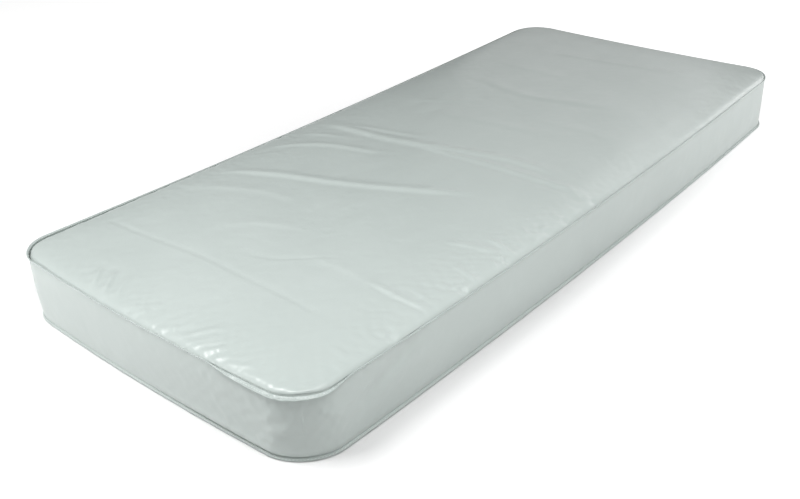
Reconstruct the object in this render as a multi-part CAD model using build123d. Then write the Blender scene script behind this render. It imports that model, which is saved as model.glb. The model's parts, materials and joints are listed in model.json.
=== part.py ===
from build123d import *
import os

# Pressure relief mattress: a foam core in three hinged sections, in a fire barrier sock, inside a
# welted coated cover that opens with a zip at the head end.
# Frame: +X towards the head end, +Y towards the left side of a person lying on it, +Z up.
# The origin is on the underside, at the middle of the footprint. Millimetres.

# Driving dimensions
LENGTH = 2032.0
WIDTH = 889.0
HEIGHT = 152.4
CORNER_RADIUS = 120.0
WELT_OUT = 5.0
WELT_HEIGHT = 10.0
WELT_ROUND = 2.0
COVER_THICK = 1.0
SOCK_THICK = 1.0
SKIN_GAP = 0.5
ZIP_ROOM = 4.0

BACK_SECTION_LENGTH = 800.0
LEG_SECTION_LENGTH = 650.0
HINGE_CUT = 1.0

BASE_FOAM_THICK = 85.0
SIDE_BOLSTER_WIDTH = 90.0
END_BOLSTER_LENGTH = 120.0
HEEL_ZONE_LENGTH = 300.0

CELL_PITCH = 58.0
CELL_SLIT = 4.0
CELL_DEPTH = 25.0
HEEL_PITCH = 39.0
HEEL_DEPTH = 40.0
RELIEF_PITCH = 40.0
RELIEF_COUNT = 4
RELIEF_SLIT = 3.0
RELIEF_DEPTH = 45.0

ZIP_HEIGHT = 62.0
ZIP_LENGTH = 624.0
WINDOW_LENGTH = 640.0
WINDOW_HEIGHT = 26.0
SOCK_MOUTH_LENGTH = 640.0
SOCK_MOUTH_HEIGHT = 70.0

TAPE_THICK = 0.8
TAPE_TOP = 22.0
COIL_THICK = 3.0
COIL_HEIGHT = 2.6
COIL_GAP = 1.0
STOP_LENGTH = 4.0

SLIDER_LENGTH = 16.0
SLIDER_HALF_HEIGHT = 6.0
SLIDER_PLATE = 1.0
SLIDER_CLEAR = 0.3
SLIDER_FLANGE = 1.1
SLIDER_PARK = 302.0
WEB_THICK = 0.6
WEB_LENGTH = 5.0
CROWN_LENGTH = 10.0
CROWN_POST = 1.5
CROWN_OPENING = 2.0
CROWN_BAR = 1.0
CROWN_HALF_HEIGHT = 1.2

PULL_PIN_RADIUS = 0.7
PULL_THICK = 1.0
PULL_LEG_INNER = 2.2
PULL_LEG_OUTER = 4.2
PULL_EYE = 6.2
PULL_LENGTH = 38.0
PULL_END_HALF_HEIGHT = 5.5
PULL_HOLE_RADIUS = 2.2

GUARD_HALF_LENGTH = 320.0
FACE_GAP = 0.1
LABEL_THICK = 0.5
LABEL_CENTRE_Y = -205.0
LABEL_WIDTH = 90.0
LABEL_LOW = 100.0
LABEL_HIGH = 136.0

# Worked out from them
FOOT = -LENGTH / 2
HEAD = LENGTH / 2
SIDE = WIDTH / 2

BORDER_INSET = WELT_OUT
SOCK_INSET = BORDER_INSET + COVER_THICK + SKIN_GAP
CORE_INSET = SOCK_INSET + SOCK_THICK + SKIN_GAP

CORE_LOW = COVER_THICK + SOCK_THICK
CORE_HIGH = HEIGHT - COVER_THICK - SOCK_THICK
CORE_FOOT = FOOT + CORE_INSET
CORE_HEAD = HEAD - CORE_INSET - ZIP_ROOM
CORE_SIDE = SIDE - CORE_INSET
INNER_SIDE = CORE_SIDE - SIDE_BOLSTER_WIDTH
BASE_HIGH = CORE_LOW + BASE_FOAM_THICK

BACK_HINGE = HEAD - BACK_SECTION_LENGTH
LEG_HINGE = FOOT + LEG_SECTION_LENGTH
SECTIONS = {
    "leg": (CORE_FOOT + END_BOLSTER_LENGTH, LEG_HINGE - HINGE_CUT / 2),
    "seat": (LEG_HINGE + HINGE_CUT / 2, BACK_HINGE - HINGE_CUT / 2),
    "back": (BACK_HINGE + HINGE_CUT / 2, CORE_HEAD - END_BOLSTER_LENGTH),
}

BORDER_FACE = HEAD - BORDER_INSET
TAPE_X = BORDER_FACE - COVER_THICK - FACE_GAP - TAPE_THICK / 2
COIL_FRONT = TAPE_X + COIL_THICK / 2
COIL_BACK = TAPE_X - COIL_THICK / 2
COIL_TOP = COIL_GAP / 2 + COIL_HEIGHT
PLATE_FRONT = COIL_FRONT + SLIDER_CLEAR
PLATE_BACK = COIL_BACK - SLIDER_CLEAR
CROWN_BASE = PLATE_FRONT + SLIDER_PLATE
PIN_X = CROWN_BASE + CROWN_OPENING / 2


def block(x0, x1, y0, y1, z0, z1):
    """A box between two corners."""
    return Pos((x0 + x1) / 2, (y0 + y1) / 2, (z0 + z1) / 2) * Box(x1 - x0, y1 - y0, z1 - z0)


def footprint_plate(inset, z0, z1, head_inset=None):
    """A plate of the mattress outline, drawn in by inset all round."""
    x0 = FOOT + inset
    x1 = HEAD - (inset if head_inset is None else head_inset)
    outline = RectangleRounded(x1 - x0, 2 * (SIDE - inset), CORNER_RADIUS - inset)
    return Pos((x0 + x1) / 2, 0, z0) * extrude(outline, z1 - z0)


def footprint_ring(outer_inset, thickness, z0, z1):
    """A wall that follows the mattress outline."""
    return footprint_plate(outer_inset, z0, z1) - footprint_plate(outer_inset + thickness, z0, z1)


def evenly(x0, x1, pitch):
    """Places of the cuts that divide a length into equal cells of about one pitch."""
    cells = max(2, round((x1 - x0) / pitch))
    return [x0 + (x1 - x0) * i / cells for i in range(1, cells)]


def edge_welt(z0, z1):
    """The folded edge tape that binds a panel to the border."""
    ring = footprint_ring(0, WELT_OUT, z0, z1)
    return fillet([e for e in ring.edges().filter_by(Plane.XY) if is_outermost(e)], WELT_ROUND)


def is_outermost(edge):
    """True for an edge on the outside of the welt."""
    point = edge.position_at(0.5)
    past_x = max(abs(point.X) - (HEAD - CORNER_RADIUS), 0)
    past_y = max(abs(point.Y) - (SIDE - CORNER_RADIUS), 0)
    return (past_x**2 + past_y**2) ** 0.5 > CORNER_RADIUS - WELT_OUT / 2


def cover_border():
    """The side wall of the cover, with the window that the zip closes."""
    wall = footprint_ring(BORDER_INSET, COVER_THICK, COVER_THICK, HEIGHT - COVER_THICK)
    half = WINDOW_LENGTH / 2
    rise = WINDOW_HEIGHT / 2
    window = block(CORE_HEAD, HEAD, -half, half, ZIP_HEIGHT - rise, ZIP_HEIGHT + rise)
    return wall - window


def fire_barrier_sock():
    """The knitted sock round the whole core, open at its mouth behind the zip."""
    outside = footprint_plate(
        SOCK_INSET, COVER_THICK, HEIGHT - COVER_THICK, head_inset=SOCK_INSET + ZIP_ROOM
    )
    core_inset = SOCK_INSET + SOCK_THICK
    inside = footprint_plate(core_inset, CORE_LOW, CORE_HIGH, head_inset=core_inset + ZIP_ROOM)
    half = SOCK_MOUTH_LENGTH / 2
    rise = SOCK_MOUTH_HEIGHT / 2
    mouth = block(CORE_HEAD, HEAD, -half, half, ZIP_HEIGHT - rise, ZIP_HEIGHT + rise)
    return outside - inside - mouth


def base_foam(section):
    """A firm base block, with relief slits on its underside beside the hinge cuts."""
    x0, x1 = SECTIONS[section]
    foam = block(x0, x1, -INNER_SIDE, INNER_SIDE, CORE_LOW, BASE_HIGH)
    steps = [RELIEF_PITCH * (i + 1) for i in range(RELIEF_COUNT)]
    places = []
    if section != "back":
        places += [x1 - step for step in steps]
    if section != "leg":
        places += [x0 + step for step in steps]
    half = RELIEF_SLIT / 2
    slits = [
        block(x - half, x + half, -INNER_SIDE, INNER_SIDE, CORE_LOW, CORE_LOW + RELIEF_DEPTH)
        for x in places
    ]
    return foam - slits


def die_cut_foam(x0, x1, pitch, depth):
    """A soft top block, cut from above into a grid of square cells."""
    foam = block(x0, x1, -INNER_SIDE, INNER_SIDE, BASE_HIGH, CORE_HIGH)
    half = CELL_SLIT / 2
    low = CORE_HIGH - depth
    across = [
        block(x - half, x + half, -INNER_SIDE, INNER_SIDE, low, CORE_HIGH)
        for x in evenly(x0, x1, pitch)
    ]
    along = [
        block(x0, x1, y - half, y + half, low, CORE_HIGH)
        for y in evenly(-INNER_SIDE, INNER_SIDE, pitch)
    ]
    return foam - across - along


def side_bolster(section, side):
    """A firm side rail of one section. side is 1 on the left and -1 on the right."""
    x0, x1 = SECTIONS[section]
    y0, y1 = sorted((side * INNER_SIDE, side * CORE_SIDE))
    return block(x0, x1, y0, y1, CORE_LOW, CORE_HIGH)


def end_bolster(x0, x1):
    """A firm end rail, with the rounded corners of the core."""
    core = footprint_plate(CORE_INSET, CORE_LOW, CORE_HIGH, head_inset=CORE_INSET + ZIP_ROOM)
    return core & block(x0, x1, -SIDE, SIDE, CORE_LOW, CORE_HIGH)


def at_zip(x0, x1, y0, y1, z0, z1):
    """A box whose heights count from the middle of the zip."""
    return block(x0, x1, y0, y1, ZIP_HEIGHT + z0, ZIP_HEIGHT + z1)


def zip_tape(side):
    """A woven tape, sewn behind the edge of the window. side is 1 above and -1 below."""
    z0, z1 = sorted((side * COIL_TOP, side * TAPE_TOP))
    half = WINDOW_LENGTH / 2
    return at_zip(TAPE_X - TAPE_THICK / 2, TAPE_X + TAPE_THICK / 2, -half, half, z0, z1)


def zip_coil(side):
    """The coil along the edge of one tape."""
    z0, z1 = sorted((side * COIL_GAP / 2, side * COIL_TOP))
    return at_zip(COIL_BACK, COIL_FRONT, -ZIP_LENGTH / 2, ZIP_LENGTH / 2, z0, z1)


def zip_end_stops():
    """The two clamped stops past the ends of the coils."""
    y0 = ZIP_LENGTH / 2
    y1 = y0 + STOP_LENGTH
    left = at_zip(COIL_BACK, COIL_FRONT, y0, y1, -COIL_TOP, COIL_TOP)
    right = at_zip(COIL_BACK, COIL_FRONT, -y1, -y0, -COIL_TOP, COIL_TOP)
    return Compound(children=[left, right])


def zip_slider():
    """Two plates round the coils, joined by a web between them, with a crown for the pull."""
    y0 = SLIDER_PARK - SLIDER_LENGTH / 2
    y1 = SLIDER_PARK + SLIDER_LENGTH / 2
    rise = SLIDER_HALF_HEIGHT
    body = at_zip(PLATE_FRONT, PLATE_FRONT + SLIDER_PLATE, y0, y1, -rise, rise)
    body += at_zip(PLATE_BACK - SLIDER_PLATE, PLATE_BACK, y0, y1, -rise, rise)
    web = WEB_THICK / 2
    body += at_zip(PLATE_BACK, PLATE_FRONT, y1 - WEB_LENGTH, y1, -web, web)
    for z0, z1 in ((rise - SLIDER_PLATE, rise), (-rise, SLIDER_PLATE - rise)):
        body += at_zip(PLATE_FRONT - SLIDER_FLANGE, PLATE_FRONT, y0, y1, z0, z1)
        body += at_zip(PLATE_BACK, PLATE_BACK + SLIDER_FLANGE, y0, y1, z0, z1)
    half = CROWN_LENGTH / 2
    top = CROWN_BASE + CROWN_OPENING + CROWN_BAR
    crown = at_zip(
        CROWN_BASE, top, SLIDER_PARK - half, SLIDER_PARK + half, -CROWN_HALF_HEIGHT, CROWN_HALF_HEIGHT
    )
    inner = half - CROWN_POST
    crown -= at_zip(
        CROWN_BASE,
        CROWN_BASE + CROWN_OPENING,
        SLIDER_PARK - inner,
        SLIDER_PARK + inner,
        -CROWN_HALF_HEIGHT,
        CROWN_HALF_HEIGHT,
    )
    return body + crown


def zip_pull():
    """A flat pull that turns on its cross pin under the crown. It lies along the closed coils."""
    half = PULL_THICK / 2
    outline = Polyline(
        (half, PULL_LEG_OUTER),
        (-PULL_EYE, PULL_LEG_OUTER),
        (-PULL_LENGTH, PULL_END_HALF_HEIGHT),
        (-PULL_LENGTH, -PULL_END_HALF_HEIGHT),
        (-PULL_EYE, -PULL_LEG_OUTER),
        (half, -PULL_LEG_OUTER),
        close=True,
    )
    eye = Pos((half - PULL_EYE) / 2, 0) * Rectangle(half + PULL_EYE, 2 * PULL_LEG_INNER)
    hole = Pos(PULL_END_HALF_HEIGHT - PULL_LENGTH, 0) * Circle(PULL_HOLE_RADIUS)
    flat = Plane((PIN_X - half, SLIDER_PARK, ZIP_HEIGHT), x_dir=(0, 1, 0), z_dir=(1, 0, 0))
    plate = extrude(flat * (make_face(outline) - eye - hole), PULL_THICK)
    pin = Cylinder(PULL_PIN_RADIUS, 2 * PULL_LEG_OUTER)
    return plate + Pos(PIN_X, SLIDER_PARK, ZIP_HEIGHT) * pin


def zip_guard():
    """The short stiff lip sewn above the zip, which sheds liquid past it."""
    face = BORDER_FACE + FACE_GAP
    points = [
        (face, 30.0),
        (face + 1.0, 30.0),
        (face + 1.0, 17.0),
        (face + 3.8, 14.0),
        (face + 3.8, 9.0),
        (face + 2.8, 9.0),
        (face + 2.8, 13.4),
        (face, 16.2),
    ]
    profile = Polyline([(x, ZIP_HEIGHT + z) for x, z in points], close=True)
    side_on = Plane((0, GUARD_HALF_LENGTH, 0), x_dir=(1, 0, 0), z_dir=(0, -1, 0))
    return extrude(side_on * make_face(profile), 2 * GUARD_HALF_LENGTH)


def care_label():
    """The blank care label, sewn flat on the head end of the border."""
    face = BORDER_FACE + FACE_GAP
    half = LABEL_WIDTH / 2
    return block(
        face, face + LABEL_THICK, LABEL_CENTRE_Y - half, LABEL_CENTRE_Y + half, LABEL_LOW, LABEL_HIGH
    )


leg_start, leg_end = SECTIONS["leg"]
heel_end = leg_start + HEEL_ZONE_LENGTH

nodes = {
    "cover_top_panel": footprint_plate(BORDER_INSET, HEIGHT - COVER_THICK, HEIGHT),
    "cover_border": cover_border(),
    "cover_bottom_panel": footprint_plate(BORDER_INSET, 0, COVER_THICK),
    "top_edge_welt": edge_welt(HEIGHT - WELT_HEIGHT, HEIGHT),
    "bottom_edge_welt": edge_welt(COVER_THICK, COVER_THICK + WELT_HEIGHT),
    "fire_barrier_sock": fire_barrier_sock(),
    "comfort_foam_back": die_cut_foam(*SECTIONS["back"], CELL_PITCH, CELL_DEPTH),
    "comfort_foam_seat": die_cut_foam(*SECTIONS["seat"], CELL_PITCH, CELL_DEPTH),
    "comfort_foam_leg": die_cut_foam(heel_end, leg_end, CELL_PITCH, CELL_DEPTH),
    "heel_foam": die_cut_foam(leg_start, heel_end, HEEL_PITCH, HEEL_DEPTH),
    "head_end_bolster": end_bolster(CORE_HEAD - END_BOLSTER_LENGTH, CORE_HEAD),
    "foot_end_bolster": end_bolster(CORE_FOOT, CORE_FOOT + END_BOLSTER_LENGTH),
    "zip_tape_upper": zip_tape(1),
    "zip_tape_lower": zip_tape(-1),
    "zip_coil_upper": zip_coil(1),
    "zip_coil_lower": zip_coil(-1),
    "zip_end_stops": zip_end_stops(),
    "zip_slider": zip_slider(),
    "zip_pull": zip_pull(),
    "zip_guard": zip_guard(),
    "care_label": care_label(),
}
for section in SECTIONS:
    nodes[f"base_foam_{section}"] = base_foam(section)
    nodes[f"left_bolster_{section}"] = side_bolster(section, 1)
    nodes[f"right_bolster_{section}"] = side_bolster(section, -1)

os.makedirs("parts", exist_ok=True)
for name, shape in nodes.items():
    export_step(shape, f"parts/{name}.step")
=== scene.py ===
import json
import math

import bmesh
import bpy
import numpy as np
from mathutils import Matrix, Vector
from numpy.linalg import norm


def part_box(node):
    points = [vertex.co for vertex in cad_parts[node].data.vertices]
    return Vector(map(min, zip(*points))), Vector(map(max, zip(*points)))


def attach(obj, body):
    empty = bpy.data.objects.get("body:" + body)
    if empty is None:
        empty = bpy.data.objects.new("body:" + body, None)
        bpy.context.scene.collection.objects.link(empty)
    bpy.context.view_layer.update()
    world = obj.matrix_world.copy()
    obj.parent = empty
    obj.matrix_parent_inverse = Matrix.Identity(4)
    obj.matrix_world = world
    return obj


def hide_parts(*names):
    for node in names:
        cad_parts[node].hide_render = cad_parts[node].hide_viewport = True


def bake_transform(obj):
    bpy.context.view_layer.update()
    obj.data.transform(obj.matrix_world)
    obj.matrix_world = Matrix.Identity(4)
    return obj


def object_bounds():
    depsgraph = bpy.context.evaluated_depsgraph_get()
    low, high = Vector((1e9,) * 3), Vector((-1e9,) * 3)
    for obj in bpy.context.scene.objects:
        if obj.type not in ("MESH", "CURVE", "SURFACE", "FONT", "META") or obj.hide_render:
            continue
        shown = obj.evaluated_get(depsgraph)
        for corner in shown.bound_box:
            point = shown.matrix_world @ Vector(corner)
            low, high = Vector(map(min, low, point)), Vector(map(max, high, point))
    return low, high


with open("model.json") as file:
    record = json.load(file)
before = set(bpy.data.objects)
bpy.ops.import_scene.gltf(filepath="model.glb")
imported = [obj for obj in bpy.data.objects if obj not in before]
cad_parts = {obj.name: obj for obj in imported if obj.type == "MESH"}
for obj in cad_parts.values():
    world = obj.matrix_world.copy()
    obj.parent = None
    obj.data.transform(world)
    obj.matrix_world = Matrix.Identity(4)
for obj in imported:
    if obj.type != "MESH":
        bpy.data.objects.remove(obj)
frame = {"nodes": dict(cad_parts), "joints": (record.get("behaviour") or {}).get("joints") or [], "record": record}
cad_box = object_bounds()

# The mattress lies along X, with its head end at +X and its right side at -Y. Everything is in metres, in the
# row frame. s and t run from -1 to 1 across the footprint, along X and Y. Each cover piece is in two halves,
# which meet across the middle of the seat.

SCENE = bpy.context.scene

# ---- sizes from the frame
LOW, HIGH = (np.array(corner) for corner in cad_box)
LENGTH, WIDTH, THICK = HIGH - LOW
HALF_X, HALF_Y = LENGTH / 2, WIDTH / 2
JOINTS = {joint["name"]: joint for joint in frame["joints"]}
BACK_HINGE = JOINTS["back_section_raise"]["pos_m"][0]
LEG_HINGE = JOINTS["leg_section_raise"]["pos_m"][0]
MID_SEAT = (BACK_HINGE + LEG_HINGE) / 2
AROUND = 2 * (LENGTH + WIDTH)

# The window for the zip in the border: its heights and half its width.
ZIP_LOW, ZIP_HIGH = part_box("zip_tape_lower")[0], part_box("zip_tape_upper")[1]
ZIP_Z = (ZIP_LOW.z + ZIP_HIGH.z) / 2
WINDOW_BOTTOM, WINDOW_TOP = ZIP_Z - 0.013, ZIP_Z + 0.013
WINDOW_SIDE = ZIP_HIGH.y

# How far inside the CAD footprint the top seam, the bottom seam and the panels' edges lie.
SEAM_INSET, BOTTOM_INSET, PANEL_INSET = 0.006, 0.0045, 0.007
# The cloth's thickness, and the pitch of the grid lines, usual and where the small folds are.
CLOTH = 0.001
STEP, FINE_STEP = 0.006, 0.0036

# Corner radii at the top and bottom seams, by the corner's signs in X and Y.
CORNERS = {
    (-1, -1): (0.086, 0.098),
    (-1, 1): (0.088, 0.1),
    (1, -1): (0.1, 0.104),
    (1, 1): (0.104, 0.118),
}
# How far each side bows out at its middle, at the top and bottom seams.
BOW_RIGHT, BOW_LEFT = (0.011, 0.020), (0.003, 0.003)
BOW_FOOT, BOW_HEAD = (0.015, 0.014), (0.0, 0.0)
# The top seam's drop below the CAD top, its sags at the sides and the head end, and the bottom seam's height.
SEAM_DROP = 0.003
SEAM_SAG = 0.012
HEAD_SAG = 0.005
BOTTOM_SEAM = 0.0065


# ---- plan shape of the cover
def unit(value):
    """A value held between 0 and 1."""
    return np.clip(value, 0, 1)


def mix(pair, level):
    """A value at a level, 1 at the top seam and 0 at the bottom seam, from the pair of values there."""
    return pair[1] + (pair[0] - pair[1]) * level


def plan(s, t, inset, level):
    """x and y of s and t on the rounded and bowed footprint."""
    half_x, half_y = HALF_X - inset, HALF_Y - inset
    x, y = s * half_x, t * half_y
    for (sign_x, sign_y), radii in CORNERS.items():
        r = mix(radii, level) - inset
        u = unit((sign_x * x - (half_x - r)) / r)
        v = unit((sign_y * y - (half_y - r)) / r)
        inside = (u > 0) & (v > 0)
        x = np.where(inside, sign_x * (half_x - r + r * u * np.sqrt(1 - v * v / 2)), x)
        y = np.where(inside, sign_y * (half_y - r + r * v * np.sqrt(1 - u * u / 2)), y)
    along, across = 1 - unit(s * s), 1 - unit(t * t)
    y = y + along * t * np.where(t < 0, mix(BOW_RIGHT, level), mix(BOW_LEFT, level))
    x = x + across * s * np.where(s < 0, mix(BOW_FOOT, level), mix(BOW_HEAD, level))
    return x, y


def seam_height(s, t):
    """Height of the top seam."""
    head = unit(s) ** 8 * (1 - unit(t * t))
    return THICK - SEAM_DROP - SEAM_SAG * (1 - unit(s * s)) - HEAD_SAG * head


def ease(distance, reach):
    """Rises from 0 towards 1 with distance, most of it within one reach."""
    return 1 - np.exp(-np.maximum(distance, 0) / reach)


def smooth(share):
    """Rounds off a share that rises evenly from 0 to 1."""
    return share * share * (3 - 2 * share)


def to_seams(s, t):
    """The distances from the nearer end and the nearer side."""
    return (1 - np.abs(s)) * HALF_X, (1 - np.abs(t)) * HALF_Y


def both(s, t, reach):
    """Rises from 0 at all four seams to 1 inside them, like ease()."""
    dx, dy = to_seams(s, t)
    return ease(dx, reach) * ease(dy, reach)


def bell(a, b=0):
    """1 where a and b are 0, and fading away round there."""
    return np.exp(-(a * a + b * b))


def catmull_rom(a, b, c, d, w):
    """The curve from b to c at share w, between a and d."""
    return 0.5 * (2 * b + (c - a) * w + (2 * a - 5 * b + 4 * c - d) * w**2 + (3 * b - a - 3 * c + d) * w**3)


def cubic(values, place, wrap=False):
    """Catmull-Rom values along the first axis, at places in grid steps."""
    n = len(values)
    i = np.floor(place).astype(int)
    w = (place - i).reshape(-1, *[1] * (values.ndim - 1))

    def at(k):
        return values[k % n] if wrap else values[np.clip(k, 0, n - 1)]

    return catmull_rom(at(i - 1), at(i), at(i + 1), at(i + 2), w)


# ---- folds in the cloth
def smooth_path(points, per_span=8):
    """A Catmull-Rom line through a few points."""
    return cubic(np.array(points), np.arange((len(points) - 1) * per_span + 1) / per_span)


def from_path(x, y, path):
    """Signed distance from a path and the place along it, from 0 to 1."""
    best, side, place = np.full(x.shape, 1e9), np.zeros(x.shape), np.zeros(x.shape)
    spans = np.diff(path, axis=0)
    lengths = norm(spans, axis=1)
    start = np.concatenate([[0], np.cumsum(lengths)])
    for i, (dx, dy) in enumerate(spans):
        px, py = x - path[i, 0], y - path[i, 1]
        w = unit((px * dx + py * dy) / max(lengths[i] ** 2, 1e-12))
        far = np.hypot(px - w * dx, py - w * dy)
        nearer = far < best
        best = np.where(nearer, far, best)
        side = np.where(nearer, np.sign(dx * py - dy * px), side)
        place = np.where(nearer, (start[i] + w * lengths[i]) / start[-1], place)
    return best * side, place


def fold(x, y, points, height, width, lean=0.6, fade=0.4):
    """A fold along a path: a crest with a hollow beside it, as deep as lean says. It fades out over that
    share of its length at each end."""
    path = smooth_path(points)
    reach = 6 * width
    lo, hi = path.min(0) - reach, path.max(0) + reach
    near = (x > lo[0]) & (x < hi[0]) & (y > lo[1]) & (y < hi[1])
    out = np.zeros(x.shape)
    if not near.any():
        return out
    far, place = from_path(x[near], y[near], path)
    q = far / width
    ends = smooth(unit(place / fade) * unit((1 - place) / fade))
    crest = np.exp(-np.abs(q) ** 1.5) + lean * q * np.exp(-q * q / 2)
    out[near] = height * ends * crest
    return out


# Folds on the top panel, in x and y: path, height and width, then lean and fade unless they are as usual.
TOP_FOLDS = [
    # the packing creases across the two ends
    ([(-0.812, 0.41), (-0.81, 0.32), (-0.804, 0.22), (-0.796, 0.12), (-0.792, 0.03), (-0.796, -0.06),
      (-0.796, -0.14), (-0.8, -0.22), (-0.805, -0.31)], -0.0012, 0.0055, 0.6, 0.1),
    ([(-0.795, 0.35), (-0.8, 0.3), (-0.802, 0.25)], 0.0008, 0.007),
    ([(0.755, 0.22), (0.775, 0.0), (0.81, -0.29)], 0.0014, 0.012, 0.5, 0.2),
    ([(-0.735, 0.04), (-0.71, -0.05), (-0.655, -0.12), (-0.61, -0.175)], -0.001, 0.006, 0.5, 0.3),
    # the broad fold across the middle, which parts into two on its way to the right seam
    ([(-0.105, 0.41), (-0.094, 0.34), (-0.082, 0.17), (-0.051, 0.03), (-0.012, -0.13), (-0.005, -0.25),
      (-0.018, -0.34)], 0.0036, 0.013, 0.9, 0.15),
    ([(-0.075, 0.1), (-0.066, 0.0), (-0.06, -0.16), (-0.059, -0.31), (-0.058, -0.37), (-0.075, -0.42),
      (-0.088, -0.445)], 0.003, 0.011, 0.9, 0.15),
    ([(-0.085, 0.36), (-0.055, 0.26), (-0.035, 0.17), (-0.01, 0.06)], 0.0018, 0.009, 0.7, 0.35),
    # long slanting folds between the foot end and the middle
    ([(-0.5, 0.41), (-0.45, 0.325), (-0.4, 0.21), (-0.34, 0.05), (-0.29, -0.06), (-0.228, -0.18),
      (-0.195, -0.25)], 0.0032, 0.012, 0.8, 0.22),
    ([(-0.35, 0.41), (-0.265, 0.355), (-0.205, 0.27), (-0.17, 0.15), (-0.13, 0.08)],
     0.0024, 0.01, 0.7, 0.3),
    ([(-0.2, 0.42), (-0.16, 0.33), (-0.13, 0.22)], 0.0016, 0.009),
    ([(-0.61, 0.41), (-0.56, 0.33), (-0.5, 0.2), (-0.48, 0.05)], 0.0014, 0.016, 0.6, 0.3),
    ([(-0.71, 0.17), (-0.615, 0.085), (-0.565, -0.045)], 0.0012, 0.014),
    ([(-0.66, -0.06), (-0.65, -0.18), (-0.655, -0.25), (-0.66, -0.33)], 0.0014, 0.013, 0.6, 0.35),
    # long shallow folds towards the head end
    ([(0.44, 0.3), (0.42, 0.2), (0.39, 0.05), (0.42, -0.1), (0.45, -0.25)], 0.0018, 0.016, 0.7, 0.3),
    ([(0.17, 0.33), (0.22, 0.22), (0.29, 0.12)], 0.0012, 0.014),
    ([(0.12, 0.23), (0.165, 0.0), (0.18, -0.2)], 0.0012, 0.016, 0.7, 0.35),
    ([(0.6, 0.35), (0.58, 0.1), (0.6, -0.1)], 0.001, 0.018, 0.5, 0.4),
    ([(0.25, -0.08), (0.26, -0.25), (0.23, -0.38)], 0.0009, 0.015),
    # short folds that run in from the right seam
    ([(-0.655, -0.27), (-0.662, -0.35), (-0.66, -0.405), (-0.662, -0.44)], 0.0028, 0.006, 0.9, 0.25),
    ([(-0.62, -0.33), (-0.63, -0.4), (-0.64, -0.44)], 0.0016, 0.006),
    ([(-0.435, -0.29), (-0.41, -0.37), (-0.4, -0.415)], 0.0022, 0.007, 0.8, 0.35),
    ([(-0.365, -0.34), (-0.375, -0.41), (-0.385, -0.45)], 0.0024, 0.006, 0.8, 0.35),
    ([(-0.395, -0.4), (-0.43, -0.45)], 0.002, 0.006),
    ([(-0.42, -0.4), (-0.455, -0.45)], 0.0018, 0.005),
    ([(-0.5, -0.36), (-0.512, -0.445)], 0.0024, 0.006, 0.8, 0.35),
    ([(-0.53, -0.39), (-0.545, -0.45)], 0.0016, 0.005),
    ([(-0.33, -0.36), (-0.34, -0.45)], 0.0016, 0.007),
    ([(-0.28, -0.37), (-0.3, -0.45)], 0.0012, 0.008),
    ([(-0.73, -0.37), (-0.75, -0.44)], 0.0014, 0.006),
    ([(-0.79, -0.37), (-0.8, -0.44)], 0.0014, 0.006),
    ([(-0.86, -0.36), (-0.875, -0.43)], 0.0014, 0.006),
    # folds at the left of the foot seam
    ([(-1.012, 0.145), (-0.975, 0.178), (-0.94, 0.205)], 0.0032, 0.009, 0.8, 0.35),
    ([(-1.012, 0.105), (-0.98, 0.135), (-0.93, 0.165)], 0.0034, 0.009, 0.8, 0.35),
    ([(-1.01, 0.075), (-0.967, 0.105), (-0.92, 0.125)], 0.0022, 0.008, 0.6, 0.35),
]


# Folds that leave the foot seam and turn along it towards the right corner: path, height and width.
FOOT_FANS = [
    ([(-1.04, -0.03), (-1.022, -0.03), (-1.0, -0.026)], 0.0009, 0.0045),
    ([(-1.04, -0.052), (-1.022, -0.053), (-1.002, -0.05)], 0.001, 0.0045),
    ([(-1.038, -0.073), (-1.022, -0.073), (-1.0, -0.076)], 0.0011, 0.0045),
    ([(-1.038, -0.093), (-1.016, -0.095), (-0.992, -0.099)], 0.0014, 0.005),
    ([(-1.036, -0.112), (-1.015, -0.121), (-0.996, -0.134), (-0.959, -0.163), (-0.93, -0.195)],
     0.0016, 0.0055),
    ([(-1.036, -0.136), (-1.01, -0.152), (-0.985, -0.173), (-0.95, -0.205)], 0.0011, 0.005),
    ([(-1.034, -0.16), (-1.006, -0.173), (-0.984, -0.192), (-0.955, -0.226)], 0.0014, 0.005),
    ([(-1.034, -0.185), (-1.01, -0.197), (-0.993, -0.213), (-0.966, -0.246)], 0.001, 0.0048),
    ([(-1.033, -0.216), (-1.014, -0.228), (-1.0, -0.243), (-0.978, -0.274)], 0.0012, 0.005),
    ([(-1.032, -0.244), (-1.013, -0.26), (-1.001, -0.28), (-0.99, -0.306), (-0.985, -0.325)],
     0.0016, 0.0055),
    ([(-1.03, -0.276), (-1.018, -0.294), (-1.008, -0.32), (-1.002, -0.345)], 0.001, 0.005),
]


def waves(x, y, seed, count, shortest, longest):
    """A soft random surface of count plane waves, mostly between -1 and 1."""
    rng = np.random.default_rng(seed)
    out = np.zeros(x.shape)
    for _ in range(count):
        length = shortest * (longest / shortest) ** rng.random()
        angle = math.pi * (rng.random() - 0.5)
        phase = math.tau * rng.random()
        k = math.tau / length
        out += np.sin(k * (x * math.cos(angle) + y * math.sin(angle)) + phase)
    return out / count**0.5 / 1.5


def gathers(place, away, seed, pitch, depth, reach):
    """Puckers that run in from a seam: place is along it, and away is from it."""
    rng = np.random.default_rng(seed)
    out = np.zeros(place.shape)
    for _ in range(7):
        length = pitch * (0.6 + 1.2 * rng.random())
        phase = math.tau * rng.random()
        slant = 0.6 * (rng.random() - 0.5)
        swell = 0.5 + 0.5 * np.sin(math.tau * (place / (5.3 * length) + rng.random()))
        out += swell * np.sin(math.tau * (place + slant * away) / length + phase)
    return depth * out / 7**0.5 * np.exp(-away / reach) * ease(away, 0.003)


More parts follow.
